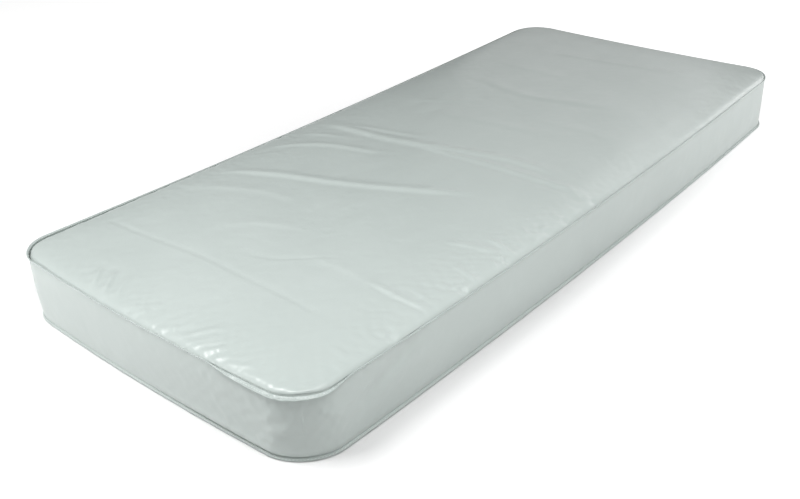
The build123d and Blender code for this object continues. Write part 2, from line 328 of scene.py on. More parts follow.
def seam_gathers(s, t, x, y, seed, depth):
    """Short and longer puckers round all four seams of a panel."""
    dx, dy = to_seams(s, t)
    out = np.zeros(x.shape)
    for side in (-1, 1):
        for which, place, away, first, longer in ((t, x, dy, seed, 0.055), (s, y, dx, seed + 20, 0.050)):
            near = side * which > 0
            out += np.where(near, gathers(place, away, first + side, 0.020, depth, 0.014), 0)
            out += np.where(near, gathers(place, away, first + 10 + side, longer, depth * 1.2, 0.040), 0)
    return out


# ---- surfaces of the cover
# The top panel starts in a groove behind the welt, rolls up out of it, and is crowned towards the middle.
GROOVE, DEEP_GROOVE = 0.003, 0.006
ROLL, ROLL_REACH = 0.007, 0.006
CROWN, CROWN_REACH = 0.010, 0.05
WAVE_HEIGHT, FINE_WAVE_HEIGHT, GATHER_DEPTH = 0.0010, 0.0003, 0.0007
FAN_LEAN, FAN_FADE, FAN_RISE = 0.7, 0.3, 0.009
BOTTOM_ROLL_REACH = 0.006


def top_form(s, t):
    """The top panel's outer face without its wrinkles."""
    x, y = plan(s, t, PANEL_INSET, 1.0)
    z = seam_height(s, t) - GROOVE + ROLL * both(s, t, ROLL_REACH)
    z = z + (CROWN + 0.4 * SEAM_SAG * (1 - s * s)) * both(s, t, CROWN_REACH)
    # the panel sits lower behind the welt at the left foot corner
    deep = bell((x + HALF_X) / 0.45, (y - HALF_Y) / 0.15)
    z = z - DEEP_GROOVE * deep * (1 - both(s, t, 0.012))
    z = z + WAVE_HEIGHT * both(s, t, 0.05) * waves(x, y, 3, 9, 0.16, 0.5)
    return x, y, z


def top_surface(s, t):
    """The top panel's outer face with its wrinkles."""
    x, y, z = top_form(s, t)
    z = z + FINE_WAVE_HEIGHT * both(s, t, 0.05) * waves(x, y, 5, 9, 0.05, 0.12)
    for row in TOP_FOLDS:
        z = z + fold(x, y, *row)
    for row in FOOT_FANS:
        z = z + fold(x, y, *row, FAN_LEAN, FAN_FADE) * ease((1 + s) * HALF_X, FAN_RISE)
    far = unit((x + 0.2) / 0.5)
    z = z + seam_gathers(s, t, x, y, 40, GATHER_DEPTH) * (1 - 0.6 * far)
    return x, y, z


def bottom_surface(s, t):
    """The bottom panel's outer face, flat on what it lies on."""
    x, y = plan(s, t, PANEL_INSET, 0.0)
    return x, y, BOTTOM_SEAM * (1 - both(s, t, BOTTOM_ROLL_REACH))


# The distances of the closest grid lines from a seam.
EDGE_LINES = np.array([0, 0.0012, 0.0026, 0.0044, 0.0066, 0.0094, 0.0130, 0.0176])


def stops(half, special, *fine):
    """Grid lines from -1 to 1 through the special places, closer beside the seams and in fine stretches."""
    inner = half - EDGE_LINES[-1]
    marks = [m for m in (*special, *sum(fine, ())) if abs(m) < inner - STEP]
    marks = sorted({-inner, *marks, inner})
    lines = []
    for a, b in zip(marks, marks[1:]):
        step = FINE_STEP if any(low <= (a + b) / 2 <= high for low, high in fine) else STEP
        n = max(1, round((b - a) / step))
        lines += [a + (b - a) * i / n for i in range(n)]
    lines.append(inner)
    return np.concatenate([EDGE_LINES[:-1] - half, lines, (half - EDGE_LINES[:-1])[::-1]]) / half


LINES_X = stops(HALF_X, (MID_SEAT,), (-HALF_X, -0.90), (-0.68, -0.30))
LINES_Y = stops(HALF_Y, (-WINDOW_SIDE, WINDOW_SIDE), (-HALF_Y, -0.02))
# The grid line across the middle of the seat.
SPLIT = int(np.argmin(np.abs(LINES_X * HALF_X - MID_SEAT)))


def new_object(name, data):
    """A new object in the scene."""
    obj = bpy.data.objects.new(name, data)
    SCENE.collection.objects.link(obj)
    return obj


def new_mesh(name, points, faces):
    """A smooth mesh object in the scene."""
    mesh = bpy.data.meshes.new(name)
    mesh.from_pydata([tuple(p) for p in points], [], [tuple(int(i) for i in f) for f in faces])
    mesh.validate()
    mesh.polygons.foreach_set("use_smooth", [True] * len(mesh.polygons))
    return new_object(name, mesh)


def grid_faces(rows, columns, flip=False, wrap=False):
    """The quads of a grid of points, turned over by flip. wrap joins the last column to the first."""
    i, j = np.meshgrid(np.arange(rows - 1), np.arange(columns - 1 + wrap), indexing="ij")
    a, b = (i * columns + j).ravel(), (i * columns + (j + 1) % columns).ravel()
    quads = np.stack([a, a + columns, b + columns, b], axis=1)
    return quads[:, ::-1] if flip else quads


def grid_normals(points, wrap=False):
    """Unit normals of a grid of points. wrap joins the last row to the first."""
    du = np.roll(points, -1, 0) - np.roll(points, 1, 0) if wrap else np.gradient(points, axis=0)
    n = np.cross(du, np.gradient(points, axis=1))
    return n / np.maximum(norm(n, axis=2, keepdims=True), 1e-12)


def thick_grid(name, points, n, flip, keep=None):
    """A closed skin of one cloth thickness, from a grid and its outward unit normals n. flip turns faces that
    look inward, and only the quads in keep are made."""
    rows, columns = points.shape[:2]
    inner = points - CLOTH * n
    flat = np.concatenate([points.reshape(-1, 3), inner.reshape(-1, 3)])
    count = rows * columns
    quads = grid_faces(rows, columns, flip)
    if keep is not None:
        quads = quads[keep.ravel()]
    back = quads[:, ::-1] + count
    # the wall goes round the rim, where an edge has one quad
    edges = np.concatenate([quads[:, [k, (k + 1) % 4]] for k in range(4)])
    _, where, uses = np.unique(np.sort(edges, axis=1), axis=0, return_inverse=True, return_counts=True)
    rim = edges[uses[where.ravel()] == 1]
    wall = np.stack([rim[:, 1], rim[:, 0], rim[:, 0] + count, rim[:, 1] + count], axis=1)
    faces = np.concatenate([quads, back, wall])
    used, renumbered = np.unique(faces, return_inverse=True)
    obj = new_mesh(name, flat[used], renumbered.reshape(-1, 4))
    mesh = obj.data
    normals = np.concatenate([n.reshape(-1, 3), -n.reshape(-1, 3)])[used]
    loops = np.zeros(len(mesh.loops), np.int32)
    mesh.loops.foreach_get("vertex_index", loops)
    mesh.normals_split_custom_set(normals[loops].tolist())
    return obj


# ---- cloth simulation
# The pitch of the simulated cloth's grid, how many frames it settles for, and the most a point may move.
SIM_STEP, SIM_FRAMES, SIM_LIMIT = 0.0135, 20, 0.009
START_NOISE = 0.00012
CLOTH_SETTINGS = {
    "quality": 5, "mass": 0.3, "tension_stiffness": 25, "compression_stiffness": 25, "shear_stiffness": 8,
    "bending_stiffness": 0.4, "air_damping": 1.5, "vertex_group_mass": "hold", "pin_stiffness": 1.0,
    "vertex_group_shrink": "tight", "shrink_max": 0.0, "use_pressure": True, "uniform_pressure_force": 0.6,
}


def run_cloth(points, wrap, spare, hold, extra, seed):
    """Lets a grid of cloth settle and returns how far each point has moved. wrap joins its last row to the
    first. spare is the share of extra cloth at each point, up to extra. hold is how firmly each point is
    kept in place, and 1 is still."""
    rows, columns = points.shape[:2]
    rng = np.random.default_rng(seed)
    start = points + rng.normal(0, START_NOISE, points.shape) * (hold < 1)[..., None]
    quads = grid_faces(rows, columns)
    if wrap:
        last, first = (rows - 1) * columns + np.arange(columns - 1), np.arange(columns - 1)
        quads = np.concatenate([quads, np.stack([last, first, first + 1, last + 1], axis=1)])
    obj = new_mesh("cloth_form", start.reshape(-1, 3), quads)
    for name, weights in (("hold", hold), ("tight", 1 - spare)):
        group = obj.vertex_groups.new(name=name)
        for index, weight in enumerate(weights.ravel()):
            group.add([index], float(weight), "REPLACE")
    modifier = obj.modifiers.new("cloth", "CLOTH")
    for key, value in {**CLOTH_SETTINGS, "shrink_min": -extra}.items():
        setattr(modifier.settings, key, value)
    modifier.settings.effector_weights.gravity = 0.0
    modifier.collision_settings.use_collision = False
    for frame_number in range(1, SIM_FRAMES + 1):
        SCENE.frame_set(frame_number)
    settled = obj.evaluated_get(bpy.context.evaluated_depsgraph_get()).data
    co = np.zeros(points.size)
    settled.vertices.foreach_get("co", co)
    SCENE.frame_set(1)
    bpy.data.objects.remove(obj)
    moved = co.reshape(rows, columns, 3) - points
    size = norm(moved, axis=2, keepdims=True)
    return moved * np.minimum(1, SIM_LIMIT / np.maximum(size, 1e-9))


# ---- materials
def node_tree(name):
    """A new material and its node tree."""
    material = bpy.data.materials.new(name)
    material.use_nodes = True
    return material, material.node_tree


def add(tree, kind, **inputs):
    """A new node with plain values in some of its inputs."""
    node = tree.nodes.new("ShaderNode" + kind)
    for key, value in inputs.items():
        node.inputs[key].default_value = value
    return node


def place_in(tree, node):
    """Feeds a node the place on the object."""
    tree.links.new(add(tree, "TexCoord").outputs["Object"], node.inputs["Vector"])


def noise(tree, scale, detail, rough=0.5, stretch=(1, 1, 1)):
    mapping = add(tree, "Mapping", Scale=stretch)
    place_in(tree, mapping)
    texture = add(tree, "TexNoise", Scale=scale, Detail=detail, Roughness=rough)
    tree.links.new(mapping.outputs["Vector"], texture.inputs["Vector"])
    return texture.outputs["Fac"]


def ramp(tree, fac, low, high, start=0.3, end=0.7):
    """From colour low, where fac is start, to colour high, where it is end."""
    node = add(tree, "ValToRGB")
    for element, position, colour in zip(node.color_ramp.elements, (start, end), (low, high)):
        element.position = position
        element.color = (*colour, 1)
    tree.links.new(fac, node.inputs["Fac"])
    return node.outputs["Color"]


def bump(tree, height, strength, distance, after=None):
    node = add(tree, "Bump", Strength=strength, Distance=distance)
    tree.links.new(height, node.inputs["Height"])
    if after is not None:
        tree.links.new(after, node.inputs["Normal"])
    return node.outputs["Normal"]


def grey(value):
    return (value, value, value)


def finish(material, colours, mottle, fac, rough, normal, **plain):
    """Gives a material colours mixed by noise, a range of roughness driven by fac, and a normal."""
    tree = material.node_tree
    inputs = tree.nodes["Principled BSDF"].inputs
    tree.links.new(ramp(tree, noise(tree, *mottle), *colours), inputs["Base Color"])
    tree.links.new(ramp(tree, fac, *map(grey, rough)), inputs["Roughness"])
    tree.links.new(normal, inputs["Normal"])
    for key, value in plain.items():
        inputs[key.replace("_", " ")].default_value = value
    return material


def coated_cloth(name, *colours, rough, wave=0.35):
    """A glossy coated fabric: faint colour drift, fine grain and soft unevenness."""
    material, tree = node_tree(name)
    soft = bump(tree, noise(tree, 9.0, 2.0), wave, 0.004)
    grain = bump(tree, noise(tree, 420.0, 2.0, 0.6), 0.04, 0.0005, soft)
    patches = noise(tree, 22.0, 5.0)
    return finish(material, colours, (3.0, 4.0), patches, (rough - 0.01, rough + 0.07), grain,
                  Specular_IOR_Level=0.5, Sheen_Weight=0.08, Sheen_Roughness=0.5)


def woven(name, *colours, pitch, rough=0.8):
    """A plain weave or knit: bands in two directions, multiplied."""
    material, tree = node_tree(name)
    weave = add(tree, "Math")
    weave.operation = "MULTIPLY"
    for k, direction in enumerate("XZ"):
        wave = add(tree, "TexWave", Scale=1 / (pitch * 20), Distortion=0.6, Detail=1.0)
        wave.bands_direction = direction
        place_in(tree, wave)
        tree.links.new(wave.outputs["Fac"], weave.inputs[k])
    weave = weave.outputs[0]
    normal = bump(tree, weave, 0.5, 0.0006)
    return finish(material, colours, (40.0, 3.0), weave, (rough, rough - 0.15), normal, Sheen_Weight=0.3)


def foam(name, *colours, cell):
    """Open-cell foam: round pores and a mottled colour."""
    material, tree = node_tree(name)
    pores = add(tree, "TexVoronoi", Scale=1 / cell)
    place_in(tree, pores)
    depth = pores.outputs["Distance"]
    normal = bump(tree, noise(tree, 160.0, 3.0), 0.3, 0.001, bump(tree, depth, 0.6, 0.0012))
    return finish(material, colours, (30.0, 4.0), depth, (0.95, 0.82), normal)


def metal(name, *colours, rough):
    """Die-cast zinc alloy with fine scratches."""
    material, tree = node_tree(name)
    scratches = noise(tree, 900.0, 2.0, 0.5, (1, 12, 1))
    normal = bump(tree, scratches, 0.15, 0.0002)
    between = (rough - 0.08, rough + 0.12)
    return finish(material, colours, (300.0, 4.0), scratches, between, normal, Metallic=1.0)


def plastic(name, *colours, rough):
    """Moulded plastic with a fine uneven grain."""
    material, tree = node_tree(name)
    normal = bump(tree, noise(tree, 700.0, 2.0), 0.08, 0.0003)
    fine = noise(tree, 500.0, 2.0)
    return finish(material, colours, (120.0, 3.0), fine, (rough - 0.06, rough + 0.06), normal)


# Each material lies between two colours.
COVER = coated_cloth("coated_cover", (0.44, 0.491, 0.472), (0.47, 0.521, 0.502), rough=0.3)
TAPE = coated_cloth("edge_tape", (0.395, 0.445, 0.427), (0.435, 0.485, 0.467), rough=0.34, wave=0.15)
THREAD = woven("stitching", (0.52, 0.57, 0.55), (0.62, 0.67, 0.65), pitch=0.0008, rough=0.6)
KNIT = woven("sock_knit", (0.72, 0.7, 0.62), (0.82, 0.8, 0.72), pitch=0.0022)
ZIP_CLOTH = woven("zip_cloth", (0.3, 0.36, 0.34), (0.36, 0.42, 0.4), pitch=0.0009)
LABEL = woven("label_satin", (0.8, 0.8, 0.78), (0.88, 0.88, 0.86), pitch=0.0006, rough=0.5)
COIL = plastic("zip_coil", (0.3, 0.35, 0.33), (0.36, 0.41, 0.39), rough=0.35)
METAL = metal("zip_metal", (0.55, 0.56, 0.57), (0.68, 0.69, 0.7), rough=0.3)
FOAMS = {
    name: foam(name, low, high, cell=cell)
    for name, low, high, cell in (
        ("base_foam", (0.7, 0.67, 0.55), (0.78, 0.75, 0.62), 0.0022),
        ("comfort_foam", (0.28, 0.47, 0.62), (0.34, 0.54, 0.68), 0.0016),
        ("heel_foam", (0.68, 0.42, 0.5), (0.74, 0.48, 0.56), 0.0014),
        ("bolster_foam", (0.24, 0.25, 0.26), (0.3, 0.31, 0.32), 0.0026),
    )
}


def paint(mesh, material):
    """Gives a mesh its only material."""
    mesh.materials.clear()
    mesh.materials.append(material)


def dress(obj, material, node=None):
    """Gives a piece its only material, and hides the CAD node that it stands for, if one is given."""
    paint(obj.data, material)
    if node is not None:
        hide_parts(node)


# ---- baking transforms
def bend(obj, half):
    """Bakes a piece's transform into its mesh and returns it; half is not used."""
    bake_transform(obj)
    return obj


def halves(points):
    """The two halves of a grid, which share the line across the middle of the seat."""
    return {"leg": points[: SPLIT + 1], "back": points[SPLIT:]}


# ---- cover panels
def settle_top():
    """How far the top panel settles, at its grid lines."""
    across_x = np.linspace(-1, 1, round(LENGTH / SIM_STEP) + 1)
    across_y = np.linspace(-1, 1, round(WIDTH / SIM_STEP) + 1)
    s, t = np.meshgrid(across_x, across_y, indexing="ij")
    x, y, z = top_form(s, t)
    seam = np.minimum(*to_seams(s, t))
    # there is more cloth to spare at the foot end and beside the right seam, and less at the left corner
    left = bell((x + HALF_X) / 0.5, (y - HALF_Y) / 0.5)
    cluster = bell((x + 0.43) / 0.22, (y + HALF_Y) / 0.3)
    spare = np.exp(-seam / 0.045) * (0.04 + 0.40 * ((1 - s) / 2) ** 2 + 0.35 * cluster) * (1 - 0.8 * left)
    hold = np.where(seam < 1e-6, 1.0, 0.45)
    moved = run_cloth(np.stack([x, y, z], axis=2), False, spare, hold, 0.030, 7)
    rows = (LINES_X + 1) / 2 * (len(across_x) - 1)
    columns = (LINES_Y + 1) / 2 * (len(across_y) - 1)
    return cubic(cubic(moved, rows).swapaxes(0, 1), columns).swapaxes(0, 1)


GRID = np.meshgrid(LINES_X, LINES_Y, indexing="ij")
TOP = np.stack(top_surface(*GRID), axis=2)
BOTTOM = np.stack(bottom_surface(*GRID), axis=2)
TOP = TOP + settle_top()


def cover_half(name, node, points, n, flip, keep=None):
    """One half of a cover piece."""
    piece = thick_grid(name, points, n, flip, keep)
    dress(piece, COVER, node)
    return piece


def make_panels():
    """The top panel is a padded piece, and the bottom panel a stretched sheet."""
    normals = halves(grid_normals(TOP))
    for half, points in halves(TOP).items():
        panel = cover_half(f"top_panel_{half}", "cover_top_panel", points, normals[half], False)
        bend(panel, half)
    normals = halves(-grid_normals(BOTTOM))
    for half, points in halves(BOTTOM).items():
        panel = cover_half(f"bottom_panel_{half}", "cover_bottom_panel", points, normals[half], True)
        bend(panel, half)


# ---- the outline as a closed loop
def loop_places():
    """s and t round the outline, anticlockwise from the middle of the right side."""
    right = [(s, -1.0) for s in LINES_X[SPLIT:]]
    head = [(1.0, t) for t in LINES_Y[1:-1]]
    left = [(s, 1.0) for s in LINES_X[::-1]]
    foot = [(-1.0, t) for t in LINES_Y[1:-1][::-1]]
    rest = [(s, -1.0) for s in LINES_X[:SPLIT]]
    return np.array(right + head + left + foot + rest)


LOOP = loop_places()


def outline(inset, level):
    """The rounded and bowed outline at each place of the loop."""
    return np.stack(plan(*LOOP.T, inset, level), axis=1)


def outward(line):
    """Smoothed unit normals of a closed anticlockwise line."""
    d = np.roll(line, -1, axis=0) - np.roll(line, 1, axis=0)
    n = np.stack([d[:, 1], -d[:, 0]], axis=1)
    n = n / norm(n, axis=1, keepdims=True)
    for _ in range(2):
        n = (np.roll(n, 1, axis=0) + 2 * n + np.roll(n, -1, axis=0)) / 4
    return n / norm(n, axis=1, keepdims=True)


def arc_length(line):
    """How far along a line each of its points is."""
    d = norm(line - np.roll(line, 1, axis=0), axis=1)
    d[0] = 0
    return np.cumsum(d)


# The station at the middle of the seat on the left side.
LEFT_MID = int(np.argmin(np.abs(LOOP[:, 0] - LINES_X[SPLIT]) + np.abs(LOOP[:, 1] - 1)))


def loop_halves(ring):
    """The two halves of a ring of stations, cut at the middle of the seat."""
    closed = np.concatenate([ring, ring[:1]])
    return {"back": closed[: LEFT_MID + 1], "leg": closed[LEFT_MID:]}


# The border's lowest rings, above the bottom seam.
LOW_RINGS = (0.0016, 0.0032, 0.0048)
RING_PITCH = 0.0065


def border_levels():
    """Shares of the border's height, closer by the bottom seam, and through the window's edges."""
    top = THICK - SEAM_DROP
    marks = [0, *[(z - BOTTOM_SEAM) / (top - BOTTOM_SEAM) for z in (WINDOW_BOTTOM, WINDOW_TOP)], 1]
    levels = []
    for a, b in zip(marks, marks[1:]):
        n = max(2, round((b - a) * top / RING_PITCH))
        levels += [a + (b - a) * i / n for i in range(n)]
    close = [z / top for z in LOW_RINGS]
    return np.array([levels[0], *close, *[v for v in levels[1:] if v > close[-1] + 0.01], 1.0])


def perimeter(loop):
    """How far each place is round the footprint's rectangle, from the right foot corner."""
    s, t = loop.T
    x, y = (s + 1) * HALF_X, (t + 1) * HALF_Y
    q = np.where(t <= -1, x, 0)
    q = np.where((s >= 1) & (t > -1), LENGTH + y, q)
    q = np.where((t >= 1) & (s < 1), 2 * LENGTH + WIDTH - x, q)
    return np.where((s <= -1) & (t > -1) & (t < 1), AROUND - y, q)


def rectangle(q):
    """s and t of places that far round."""
    marks = [0, LENGTH, LENGTH + WIDTH, 2 * LENGTH + WIDTH, AROUND]
    s, t = (np.interp(q, marks, ends) for ends in ([-1, 1, 1, -1, -1], [-1, -1, 1, 1, -1]))
    return np.stack([s, t], axis=1)


# The border bulges out between its seams, except at the head end, where the zip holds it flat.
BULGE, HEAD_INSET = 0.0030, 0.005


def border_form(loop, levels):
    """The border without its wrinkles, as stations from bottom to top, and how free of the flat head end
    each station is."""
    s, t = loop.T
    head = unit((s * HALF_X - (HALF_X - 0.16)) / 0.12)[:, None]
    high = seam_height(s, t)
    rings = []
    for level in levels:
        sewn = np.stack(plan(s, t, BOTTOM_INSET + (SEAM_INSET - BOTTOM_INSET) * level, level), axis=1)
        held = np.stack(plan(s, t, HEAD_INSET, level), axis=1)
        n = outward(sewn)
        bulge = BULGE * math.sin(math.pi * level) ** 0.7 if 0 < level < 1 else 0.0
        line = sewn + (held - sewn) * head + n * bulge * (1 - head)
        z = BOTTOM_SEAM + (high - BOTTOM_SEAM) * level
        rings.append(np.concatenate([line, z[:, None]], axis=1))
    return np.stack(rings, axis=1), 1 - head[:, 0]


def settle_border(levels):
    """How far the border settles, at its stations and levels."""
    count = round(AROUND / SIM_STEP)
    loop = rectangle(np.arange(count) * AROUND / count)
    rows = np.linspace(0, 1, 12)
    form, free = border_form(loop, rows)
    near = bell((form[:, 0, 0] + HALF_X) / 0.3, (form[:, 0, 1] + HALF_Y) / 0.3)
    spare = np.repeat((0.16 * near)[:, None], len(rows), axis=1)
    hold = np.repeat(np.where(free < 0.98, 1.0, 0.40)[:, None], len(rows), axis=1)
    hold[:, 0] = hold[:, -1] = 1.0
    moved = run_cloth(form, True, spare, hold, 0.020, 8)
    moved = cubic(moved, perimeter(LOOP) / AROUND * count, wrap=True)
    return cubic(moved.swapaxes(0, 1), levels * (len(rows) - 1)).swapaxes(0, 1)


# Folds on the border: path, round from the right foot corner and up as a share of the height, then height,
# width, lean and fade.
BORDER_FOLDS = [
    ([(0.1, 0.2), (0.17, 0.45), (0.26, 0.66), (0.36, 0.8)], -0.0055, 0.016, 0.9, 0.35),
    ([(0.01, 0.75), (0.05, 0.6), (0.1, 0.5)], 0.0024, 0.01, 0.6, 0.35),
    ([(-0.09, 0.3), (-0.05, 0.36), (-0.01, 0.48)], 0.0028, 0.008, 0.7, 0.35),
    ([(-0.12, 0.22), (-0.08, 0.24), (-0.04, 0.3)], 0.0022, 0.008, -0.6, 0.35),
]


def border_grid():
    """The border's outer face with its folds, and its levels."""
    levels = border_levels()
    points, free = border_form(LOOP, levels)
    points = points + settle_border(levels)
    n = outward(outline(SEAM_INSET, 1.0))
    place = perimeter(LOOP)
    around = around_corner()
    tall = seam_height(*LOOP.T) - BOTTOM_SEAM
    strength = 0.15 + 1.6 * bell(around / 0.22)
    for k, level in enumerate(levels):
        down, up = level * tall, (1 - level) * tall
        out = 0.0010 * math.sin(math.pi * level) * waves(place, 0.4 * level + 0 * place, 12, 7, 0.18, 0.6)
        out = out + strength * gathers(place, up, 60, 0.022, 0.0005, 0.016)
        out = out + strength * gathers(place, down, 61, 0.020, 0.0005, 0.014)
        for path, *shape in BORDER_FOLDS:
            out = out + fold(around, down, [(p, share * THICK) for p, share in path], *shape)
        # the cloth hangs over the bottom seam along the foot end, by the right corner
        lip = bell((around + 0.16) / 0.20, (down - 0.012) / 0.007)
        tuck = bell((around + 0.14) / 0.20, (down - 0.0028) / 0.0016)
        out = out + 0.0035 * lip - 0.0028 * tuck
        points[:, k, :2] += n * (out * free)[:, None]
    return points, levels


def make_border():
    """The border, with a window in its head end for the zip."""
    points, levels = border_grid()
    normals = loop_halves(grid_normals(points, wrap=True))
    levels_mid = (levels[:-1] + levels[1:]) / 2
    z = BOTTOM_SEAM + (THICK - SEAM_DROP - BOTTOM_SEAM) * levels_mid
    in_window = (z > WINDOW_BOTTOM) & (z < WINDOW_TOP)
    for half, grid in loop_halves(points).items():
        x, y, _ = ((grid[:-1, 0] + grid[1:, 0]) / 2).T
        at_head = (x > HALF_X - 0.02) & (np.abs(y) < WINDOW_SIDE)
        keep = ~(at_head[:, None] & in_window[None, :])
        border = cover_half(f"border_{half}", "cover_border", grid, normals[half], False, keep)
        bend(border, half)


# ---- welts and stitching
WELT_THICK, WELT_WIDE = 0.0024, 0.0085


def welt_section(corners=10):
    """A long narrow section with round ends: along the width and across the thickness."""
    r = WELT_THICK / 2
    out = []
    for centre, start in ((WELT_WIDE - r, -math.pi / 2), (r, math.pi / 2)):
        for i in range(corners + 1):
            a = start + math.pi * i / corners
            out.append((centre + r * math.cos(a), r * math.sin(a)))
    return np.array(out)


def around_corner():
    """How far round from the right foot corner each place is, negative along the foot end."""
    place = perimeter(LOOP)
    return np.where(place > AROUND / 2, place - AROUND, place)


def top_tilt():
    """The top welt's tilt in degrees: upright, leaning out at the left, flat at the right foot corner."""
    around = around_corner()
    upright = unit(np.maximum((around - 0.03) / 0.11, (-around - 0.13) / 0.12))
    left = unit((LOOP[:, 1] - 0.75) / 0.25)
    return -38 + (116 - 26 * left) * smooth(upright)


def ripples(place, *how):
    """waves() along a line."""
    return waves(place, 0 * place, *how)


def welt_frames(level):
    """Each station's root of the welt, directions across it and out of its face, and place."""
    line = outline(SEAM_INSET if level > 0.5 else BOTTOM_INSET, level)
    n = outward(line)
    place = arc_length(line)
    if level > 0.5:
        z = seam_height(*LOOP.T) - 0.0035
        tilt = top_tilt() + 3 * ripples(place, 70, 6, 0.04, 0.25)
        tilt = tilt + 9 * near_right_foot() * ripples(place, 72, 7, 0.010, 0.030)
    else:
        z = np.full(len(line), BOTTOM_SEAM + 0.0008)
        right = unit(around_corner() / 0.25) * (LOOP[:, 1] < 0)
        tilt = -66 + 16 * right + 4 * ripples(place, 71, 6, 0.05, 0.3)
    a = np.radians(tilt)[:, None]
    root = np.concatenate([line, z[:, None]], axis=1)
    flat = np.concatenate([n, np.zeros((len(n), 1))], axis=1)
    up = np.array([0, 0, 1.0])
    across = flat * np.cos(a) + up * np.sin(a)
    face = up * np.cos(a) - flat * np.sin(a)
    return root, across, face, place


def ring_mesh(name, grid):
    """A capped tube from stations x section points."""
    stations, around = grid.shape[:2]
    quads = grid_faces(stations, around, wrap=True).tolist()
    caps = [range(around), reversed(range((stations - 1) * around, stations * around))]
    return new_mesh(name, grid.reshape(-1, 3), quads + caps)


def near_right_foot():
    """1 at the right foot corner, where the top welt lies flattest, and less away from it."""
    return bell((around_corner() + 0.05) / 0.14)


def welt_width(level):
    """The welt's width round the outline, as a share of WELT_WIDE."""
    if level < 0.5:
        return np.full(len(LOOP), 0.74)
    x, y = outline(0, 1.0).T
    left_foot = bell((x + HALF_X) / 0.35, (y - HALF_Y) / 0.16)
    return 0.62 + 0.30 * left_foot + 0.40 * near_right_foot()


def make_welt(level, name, node):
    """The top welt, where level is 1, or the bottom welt, where it is 0."""
    root, across, face, place = welt_frames(level)
    section = welt_section()
    wide = welt_width(level)
    gathered = near_right_foot() if level > 0.5 else 0 * place
    puff = 1 + (0.15 + 0.6 * gathered) * ripples(place, 80, 5, 0.010, 0.03)
    ring = (root[:, None] + across[:, None] * section[:, :1] * wide[:, None, None]
            + face[:, None] * (section[:, 1] * puff[:, None])[..., None])
    for half, grid in loop_halves(ring).items():
        welt = ring_mesh(f"{name}_{half}", grid)
        dress(welt, TAPE, node)
        bend(welt, half)


STITCH_PITCH, STITCH_LENGTH, THREAD_RADIUS = 0.0065, 0.0046, 0.0005
# A stitch's four rings: place along it, height over the welt's face in thread radii, and size.
STITCH_RINGS = ((-0.5, -0.9, 0.55), (-0.3, 0.2, 1), (0.3, 0.2, 1), (0.5, -0.9, 0.55))
STITCH_SIDES = np.roll(grid_faces(4, 6, True, wrap=True), 1, axis=1)
STITCH_FACES = [*STITCH_SIDES.tolist(), range(5, -1, -1), range(18, 24)]


def make_stitching(level, name):
    """Stitches along both faces of the welt, each a bar sunk at both ends."""
    root, across, face, _ = welt_frames(level)
    middle = root + across * WELT_WIDE * welt_width(level)[:, None] * 0.5
    stations = loop_halves(np.concatenate([middle, across, face], axis=1))
    corners = np.arange(6) * math.pi / 3
    for half, rows in stations.items():
        along = arc_length(rows[:, 0:3])
        points, faces = [], []
        for way in (-1, 1):
            for centre in np.arange(STITCH_PITCH / 2, along[-1], STITCH_PITCH):
                base = len(points)
                for share, sink, size in STITCH_RINGS:
                    cut = centre + STITCH_LENGTH * share
                    here = [np.interp(cut, along, column) for column in rows.T]
                    p, side, up = np.reshape(here, (3, 3))
                    p = p + up * way * (WELT_THICK / 2 + sink * THREAD_RADIUS)
                    for a in corners:
                        points.append(p + size * THREAD_RADIUS * (side * math.cos(a) + up * math.sin(a)))
                faces += [[base + k for k in face] for face in STITCH_FACES]
        thread = new_mesh(f"{name}_{half}", points, faces)
        dress(thread, THREAD)
        bend(thread, half)


# ---- the inside
def lowest_nearby(z):
    """The lowest height among each grid point and its neighbours."""
    wide = np.pad(z, 2, mode="edge")
    rows, columns = z.shape
    return np.min([wide[i : i + rows, j : j + columns] for i in range(5) for j in range(5)], axis=0)


# The core's gaps below the lowest top nearby, and above the underside.
TOP_GAP, BOTTOM_GAP = 0.0040, 0.0030


def squeeze(co):
    """Fits points of the CAD core between the cover's real top and underside."""
    s = np.clip(co[:, 0] / (HALF_X - PANEL_INSET), -1, 1)
    t = np.clip(co[:, 1] / (HALF_Y - PANEL_INSET), -1, 1)
    row = np.interp(s, LINES_X, np.arange(len(LINES_X)))
    column = np.interp(t, LINES_Y, np.arange(len(LINES_Y)))
    i = np.minimum(row.astype(int), len(LINES_X) - 2)
    j = np.minimum(column.astype(int), len(LINES_Y) - 2)
    u, v = row - i, column - j
    z = LOWEST_TOP
    high = (z[i, j] * (1 - u) * (1 - v) + z[i + 1, j] * u * (1 - v)
            + z[i, j + 1] * (1 - u) * v + z[i + 1, j + 1] * u * v) - TOP_GAP
    low = bottom_surface(s, t)[2] + BOTTOM_GAP
    out = co.copy()
    out[:, 2] = low + (high - low) * co[:, 2] / THICK
    return out


def bisect(b, place, normal, **sides):
    """Cuts a bmesh across at a plane and returns what that made."""
    geometry = b.verts[:] + b.edges[:] + b.faces[:]
    return bmesh.ops.bisect_plane(b, geom=geometry, dist=1e-6, plane_co=place, plane_no=normal, **sides)


def cut_across(mesh, axis, places):
    """Adds cuts to a mesh at planes across one axis."""
    b = bmesh.new()
    b.from_mesh(mesh)
    normal = Vector([1.0 if k == axis else 0.0 for k in range(3)])
    for place in places:
        bisect(b, normal * place, normal)
    b.to_mesh(mesh)
    b.free()


def keep_half(mesh, half):
    """Cuts a mesh at the middle of the seat, and keeps and closes one half."""
    b = bmesh.new()
    b.from_mesh(mesh)
    made = bisect(b, (MID_SEAT, 0, 0), (1, 0, 0), clear_inner=half == "back", clear_outer=half == "leg")
    rim = [e for e in made["geom_cut"] if isinstance(e, bmesh.types.BMEdge)]
    bmesh.ops.triangle_fill(b, use_beauty=True, edges=rim)
    bmesh.ops.recalc_face_normals(b, faces=b.faces[:])
    b.to_mesh(mesh)
    b.free()


